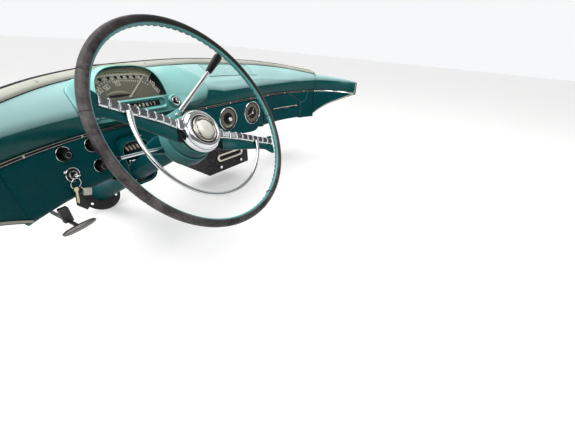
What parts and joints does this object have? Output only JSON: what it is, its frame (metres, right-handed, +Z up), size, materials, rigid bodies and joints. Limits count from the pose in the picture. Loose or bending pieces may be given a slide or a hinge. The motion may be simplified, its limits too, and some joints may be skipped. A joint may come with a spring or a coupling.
{
  "type": "car dashboard with steering column and steering wheel",
  "caption": "Pressed-steel car dashboard with instrument hood, round dials, glove box, column with levers and a two-spoke steering wheel.",
  "frame": {"origin": "middle of the top face of the rail that bolts the dashboard to the cowl, centred between its two bolts", "axes": "+X along the dashboard to the passenger side, +Y to the front of the car, +Z up"},
  "size_m": [1.529, 0.7891, 0.6081],
  "materials": {
    "sea_green_paint": "gloss",
    "dark_teal_paint": "gloss",
    "column_paint": "gloss",
    "cream_paint": "satin",
    "chrome": "polished",
    "black_plastic": "gloss",
    "dial_face": "satin",
    "pointer_paint": "satin",
    "lens_glass": "gloss",
    "rim_plastic": "worn gloss",
    "wheel_paint": "gloss",
    "button_enamel": "gloss",
    "dark_grey_paint": "satin",
    "bare_steel": "dull"
  },
  "bodies": {
    "dashboard": {"brake_pull": "chrome", "cap_strips": "chrome", "centre_pod": "dark_teal_paint", "chrome_strip": "chrome", "clock_bezel": "chrome", "clock_case": "bare_steel", "clock_face": "dial_face", "clock_hands": "pointer_paint", "cluster_bosses": "sea_green_paint", "cluster_can": "bare_steel", "cluster_hood": "sea_green_paint", "cluster_knobs": "chrome", "cluster_lens": "lens_glass", "column_bell": "column_paint", "column_bracket": "column_paint", "column_jacket": "column_paint", "column_surround": "dark_teal_paint", "corner_cap_left": "sea_green_paint", "corner_cap_right": "sea_green_paint", "cowl_rail": "bare_steel", "garnish_moulding": "cream_paint", "glove_box_bin": "bare_steel", "glove_hinge_pin": "bare_steel", "ignition_key": "chrome", "ignition_lock": "chrome", "lower_panel": "dark_teal_paint", "odometer_bar": "sea_green_paint", "odometer_window": "black_plastic", "pillar_brackets": "bare_steel", "radio_bezel": "chrome", "radio_case": "bare_steel", "radio_face": "dial_face", "radio_knob": "black_plastic", "shift_collar": "column_paint", "shift_grip": "black_plastic", "shift_lever": "chrome", "signal_lever": "chrome", "speaker_grille": "sea_green_paint", "speedometer_dial": "dial_face", "speedometer_needle": "pointer_paint", "switch_bezels": "chrome", "switch_knobs": "black_plastic", "toe_plate": "bare_steel", "unit_case": "dark_grey_paint", "unit_front": "chrome", "unit_hangers": "bare_steel", "unit_knobs": "chrome", "upper_panel": "sea_green_paint", "vent_control": "black_plastic"},
    "steering": {"steering_shaft": "bare_steel", "wheel_rim": "rim_plastic", "wheel_spokes": "wheel_paint", "spoke_ribs": "chrome", "horn_ring": "chrome", "horn_cup": "chrome", "horn_button": "button_enamel"},
    "glove_door": {"glove_box_door": "dark_teal_paint", "glove_door_pull": "chrome", "door_hinge_arms": "bare_steel"}
  },
  "joints": [
    {"name": "steering", "type": "hinge", "parent": "dashboard", "child": "steering", "pos_m": [-0.371, -0.485, -0.075], "axis": [0, -0.8607, 0.509], "range_deg": [-810, 810]},
    {"name": "glove_box_lid", "type": "hinge", "parent": "dashboard", "child": "glove_door", "pos_m": [0.314, -0.12685, -0.263], "axis": [0.9823, -0.1874, 0], "range_deg": [0, 78]}
  ]
}
